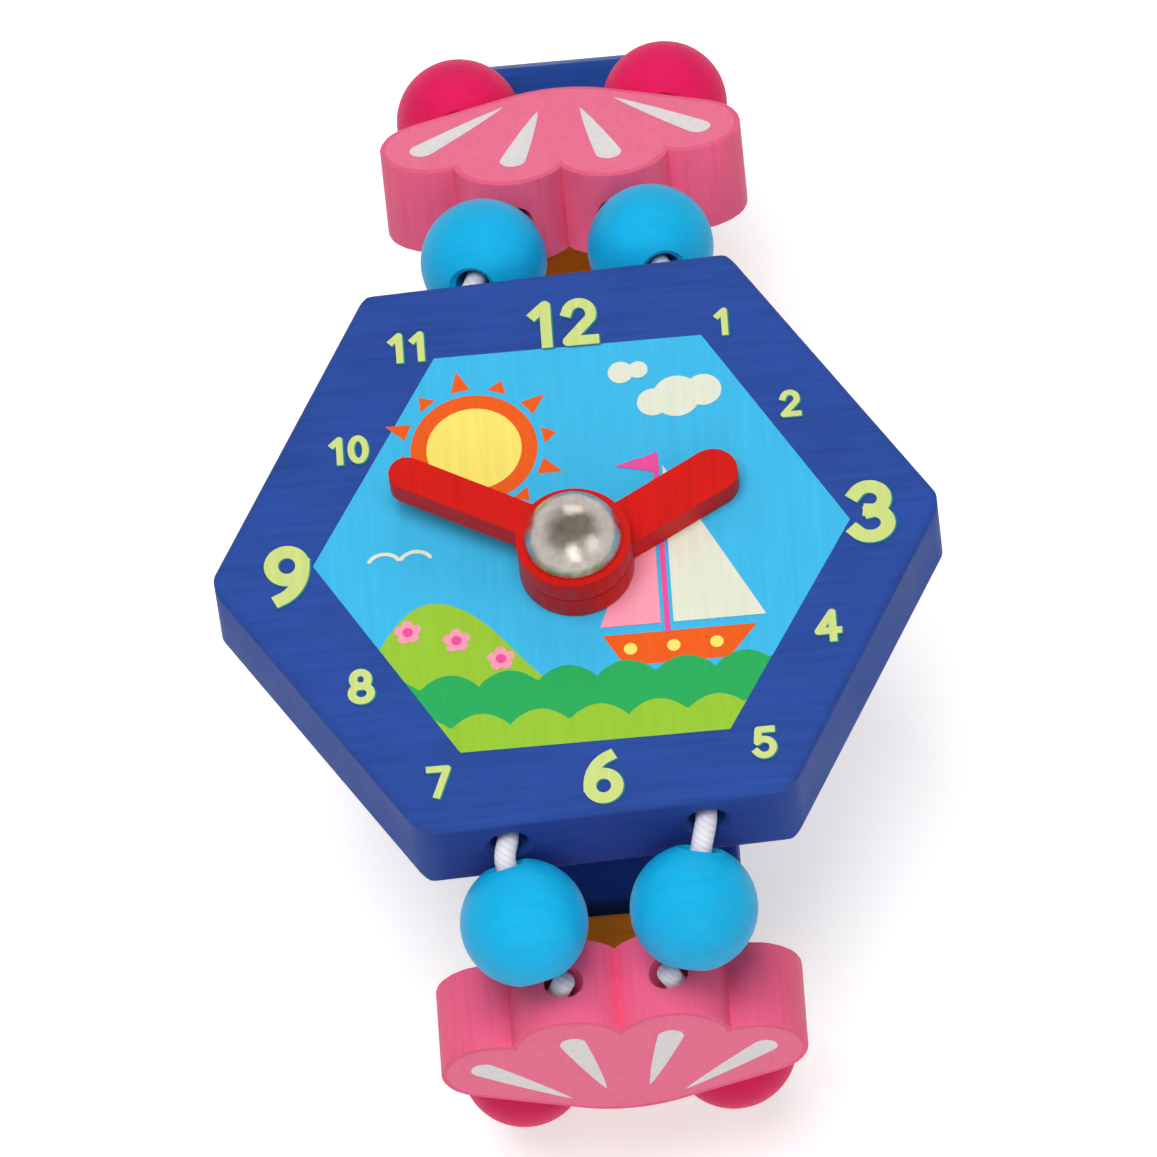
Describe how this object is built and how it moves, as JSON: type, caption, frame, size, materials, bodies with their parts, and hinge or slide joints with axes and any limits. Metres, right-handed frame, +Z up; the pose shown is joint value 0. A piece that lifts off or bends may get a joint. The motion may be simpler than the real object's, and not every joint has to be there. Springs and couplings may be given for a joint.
{
  "type": "toy watch",
  "caption": "Wooden toy watch: hexagonal dial with two turning hands, carried by round beads, scalloped shells and flat bars strung on elastic.",
  "frame": {"origin": "middle of the underside of the middle strap bar, on the surface the watch lies on", "axes": "+X across the strap toward 3 o'clock, +Y along the strap toward 12 o'clock, +Z up out of the dial"},
  "size_m": [0.0454, 0.0798, 0.0382],
  "materials": {
    "face_blue": "painted, satin",
    "sky_blue": "painted, satin",
    "crimson": "painted, satin",
    "shell_pink": "painted, satin",
    "bar_orange": "painted, satin",
    "bar_blue": "painted, satin",
    "hand_red": "painted, satin",
    "nickel": "nickel plated, slightly worn",
    "elastic": "milky, satin"
  },
  "bodies": {
    "strap_back": {"back_bar_4": "bar_blue", "back_cord_left": "elastic", "back_cord_right": "elastic", "cord_knots": "elastic"},
    "lower_shell": {"shell_6": "shell_pink", "shell_6_cords": "elastic"},
    "watch_face": {"clock_face": "face_blue", "centre_pin": "nickel", "face_cord_left": "elastic", "face_cord_right": "elastic"},
    "upper_shell": {"shell_12": "shell_pink", "shell_12_cords": "elastic"},
    "hour_hand_body": {"hour_hand": "hand_red"},
    "minute_hand_body": {"minute_hand": "hand_red"},
    "sky_bead_6_left_body": {"sky_bead_6_left": "sky_blue"},
    "sky_bead_6_right_body": {"sky_bead_6_right": "sky_blue"},
    "sky_bead_12_left_body": {"sky_bead_12_left": "sky_blue"},
    "sky_bead_12_right_body": {"sky_bead_12_right": "sky_blue"},
    "crimson_bead_6_left_body": {"crimson_bead_6_left": "crimson"},
    "crimson_bead_6_right_body": {"crimson_bead_6_right": "crimson"},
    "crimson_bead_12_left_body": {"crimson_bead_12_left": "crimson"},
    "crimson_bead_12_right_body": {"crimson_bead_12_right": "crimson"},
    "turn_bar_body": {"turn_bar": "bar_blue"},
    "back_bar_1_body": {"back_bar_1": "bar_orange"},
    "back_bar_2_body": {"back_bar_2": "bar_blue"},
    "back_bar_3_body": {"back_bar_3": "bar_orange"},
    "back_bar_5_body": {"back_bar_5": "bar_orange"},
    "back_bar_6_body": {"back_bar_6": "bar_blue"},
    "back_bar_7_body": {"back_bar_7": "bar_orange"}
  },
  "joints": [
    {"name": "strap_sway", "type": "hinge", "parent": "strap_back", "child": "lower_shell", "pos_m": [0, -0.03481, 0.008], "axis": [1, 0, 0], "range_deg": [-10, 3], "stiffness_Nm_per_rad": 0.05},
    {"name": "face_tilt", "type": "hinge", "parent": "lower_shell", "child": "watch_face", "pos_m": [0, -0.03596, 0.02693], "axis": [1, 0, 0], "range_deg": [-4.62, 15.4]},
    {"name": "upper_shell_swing", "type": "hinge", "parent": "strap_back", "child": "upper_shell", "pos_m": [0, 0.02967, 0.01788], "axis": [1, 0, 0], "range_deg": [-16.9, 5.07]},
    {"name": "hour_hand_turn", "type": "hinge", "parent": "watch_face", "child": "hour_hand_body", "pos_m": [0, -0.01358, 0.03203], "axis": [0, 0, 1], "continuous": true},
    {"name": "minute_hand_turn", "type": "hinge", "parent": "watch_face", "child": "minute_hand_body", "pos_m": [0, -0.01358, 0.03203], "axis": [0, 0, 1], "continuous": true},
    {"name": "sky_bead_6_left_spin", "type": "hinge", "parent": "watch_face", "child": "sky_bead_6_left_body", "pos_m": [-0.005, -0.03596, 0.02693], "axis": [0.2079, -0.7708, -0.6022], "continuous": true},
    {"name": "sky_bead_6_right_spin", "type": "hinge", "parent": "watch_face", "child": "sky_bead_6_right_body", "pos_m": [0.0056, -0.03596, 0.02693], "axis": [-0.2079, -0.7708, -0.6022], "continuous": true},
    {"name": "sky_bead_12_left_spin", "type": "hinge", "parent": "watch_face", "child": "sky_bead_12_left_body", "pos_m": [-0.0047, 0.01301, 0.02693], "axis": [0.2079, 0.8471, -0.4891], "continuous": true},
    {"name": "sky_bead_12_right_spin", "type": "hinge", "parent": "watch_face", "child": "sky_bead_12_right_body", "pos_m": [0.0059, 0.01301, 0.02693], "axis": [-0.2079, 0.8471, -0.4891], "continuous": true},
    {"name": "crimson_bead_6_left_spin", "type": "hinge", "parent": "strap_back", "child": "crimson_bead_6_left_body", "pos_m": [-0.0063, -0.03481, 0.008], "axis": [0, 0.342, -0.9397], "continuous": true},
    {"name": "crimson_bead_6_right_spin", "type": "hinge", "parent": "strap_back", "child": "crimson_bead_6_right_body", "pos_m": [0.0069, -0.03481, 0.008], "axis": [0, 0.342, -0.9397], "continuous": true},
    {"name": "crimson_bead_12_left_spin", "type": "hinge", "parent": "strap_back", "child": "crimson_bead_12_left_body", "pos_m": [-0.006, 0.02967, 0.01788], "axis": [0, 0.7071, -0.7071], "continuous": true},
    {"name": "crimson_bead_12_right_spin", "type": "hinge", "parent": "strap_back", "child": "crimson_bead_12_right_body", "pos_m": [0.0072, 0.02967, 0.01788], "axis": [0, 0.7071, -0.7071], "continuous": true},
    {"name": "turn_bar_rock", "type": "hinge", "parent": "strap_back", "child": "turn_bar_body", "pos_m": [0, 0.03444, 0.01108], "axis": [1, 0, 0], "range_deg": [-5, 1.5]},
    {"name": "back_bar_1_rock", "type": "hinge", "parent": "strap_back", "child": "back_bar_1_body", "pos_m": [0, -0.027, 0.003], "axis": [1, 0, 0], "range_deg": [-5, 5]},
    {"name": "back_bar_2_rock", "type": "hinge", "parent": "strap_back", "child": "back_bar_2_body", "pos_m": [0, -0.018, 0.003], "axis": [1, 0, 0], "range_deg": [-5, 5]},
    {"name": "back_bar_3_rock", "type": "hinge", "parent": "strap_back", "child": "back_bar_3_body", "pos_m": [0, -0.009, 0.003], "axis": [1, 0, 0], "range_deg": [-5, 5]},
    {"name": "back_bar_5_rock", "type": "hinge", "parent": "strap_back", "child": "back_bar_5_body", "pos_m": [0, 0.009, 0.003], "axis": [1, 0, 0], "range_deg": [-5, 5]},
    {"name": "back_bar_6_rock", "type": "hinge", "parent": "strap_back", "child": "back_bar_6_body", "pos_m": [0, 0.018, 0.003], "axis": [1, 0, 0], "range_deg": [-5, 5]},
    {"name": "back_bar_7_rock", "type": "hinge", "parent": "strap_back", "child": "back_bar_7_body", "pos_m": [0, 0.027, 0.003], "axis": [1, 0, 0], "range_deg": [-5, 5]}
  ],
  "couplings": [
    {"joint": "face_tilt", "follows": "strap_sway", "ratio": -1.54},
    {"joint": "upper_shell_swing", "follows": "strap_sway", "ratio": 1.69}
  ]
}
